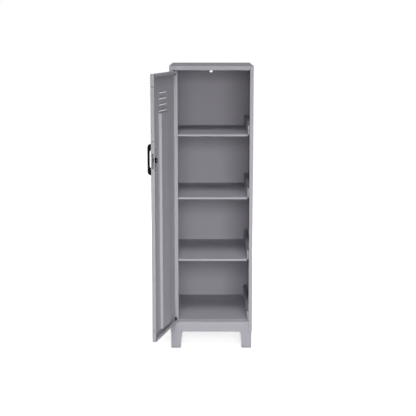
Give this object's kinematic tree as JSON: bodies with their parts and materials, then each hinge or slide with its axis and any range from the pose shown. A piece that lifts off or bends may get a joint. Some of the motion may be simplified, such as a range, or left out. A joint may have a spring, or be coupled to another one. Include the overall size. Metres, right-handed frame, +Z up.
{
  "type": "tool chest side locker",
  "caption": "Tall narrow free-standing steel locker with a louvred hinged door, bow handle, cam lock, shelves with turned-up ends and tapered legs.",
  "frame": {"origin": "on the floor, under the middle of the locker's box with its door standing open", "axes": "+Z up; the door opening faces -Y; the door is hinged on the -X side"},
  "size_m": [0.4428, 0.7634, 1.2515],
  "materials": {
    "grey_powder_coat": "satin powder coat with fine orange peel",
    "black_plastic": "moulded, fine satin grain",
    "zinc_steel": "zinc plated",
    "foot_plastic": "moulded grey glide"
  },
  "bodies": {
    "carcass": {"left_side_panel": "grey_powder_coat", "right_side_panel": "grey_powder_coat", "back_panel": "grey_powder_coat", "top_panel": "grey_powder_coat", "base_frame": "grey_powder_coat", "shelf_1": "grey_powder_coat", "shelf_2": "grey_powder_coat", "shelf_3": "grey_powder_coat", "shelf_4": "grey_powder_coat", "shelf_rail_1_left": "grey_powder_coat", "shelf_rail_1_right": "grey_powder_coat", "shelf_rail_2_left": "grey_powder_coat", "shelf_rail_2_right": "grey_powder_coat", "shelf_rail_3_left": "grey_powder_coat", "shelf_rail_3_right": "grey_powder_coat", "shelf_rail_4_left": "grey_powder_coat", "shelf_rail_4_right": "grey_powder_coat", "leg_front_left": "grey_powder_coat", "leg_front_right": "grey_powder_coat", "leg_rear_left": "grey_powder_coat", "leg_rear_right": "grey_powder_coat", "foot_front_left": "foot_plastic", "foot_front_right": "foot_plastic", "foot_rear_left": "foot_plastic", "foot_rear_right": "foot_plastic", "leg_bolt_front_left": "zinc_steel", "leg_bolt_front_right": "zinc_steel", "leg_bolt_rear_left": "zinc_steel", "leg_bolt_rear_right": "zinc_steel", "hinge_pin_top": "zinc_steel", "hinge_pin_bottom": "zinc_steel"},
    "door": {"door_panel": "grey_powder_coat", "door_stiffener": "grey_powder_coat", "hinge_bush_top": "black_plastic", "hinge_bush_bottom": "black_plastic", "door_handle": "black_plastic", "handle_screw_upper": "zinc_steel", "handle_screw_lower": "zinc_steel", "lock_housing": "black_plastic", "lock_nut": "black_plastic"},
    "lock": {"lock_plug": "zinc_steel", "lock_cam": "zinc_steel", "cam_retainer": "black_plastic", "cam_screw": "zinc_steel"}
  },
  "joints": [
    {"name": "door_hinge", "type": "hinge", "parent": "carcass", "child": "door", "pos_m": [-0.11656, -0.06984, 0.677], "axis": [0, 0, 1], "range_deg": [-5, 105]},
    {"name": "lock_turn", "type": "hinge", "parent": "door", "child": "lock", "pos_m": [-0.19641, -0.34661, 0.88], "axis": [-0.9659, 0.2588, 0], "range_deg": [0, 90]}
  ]
}
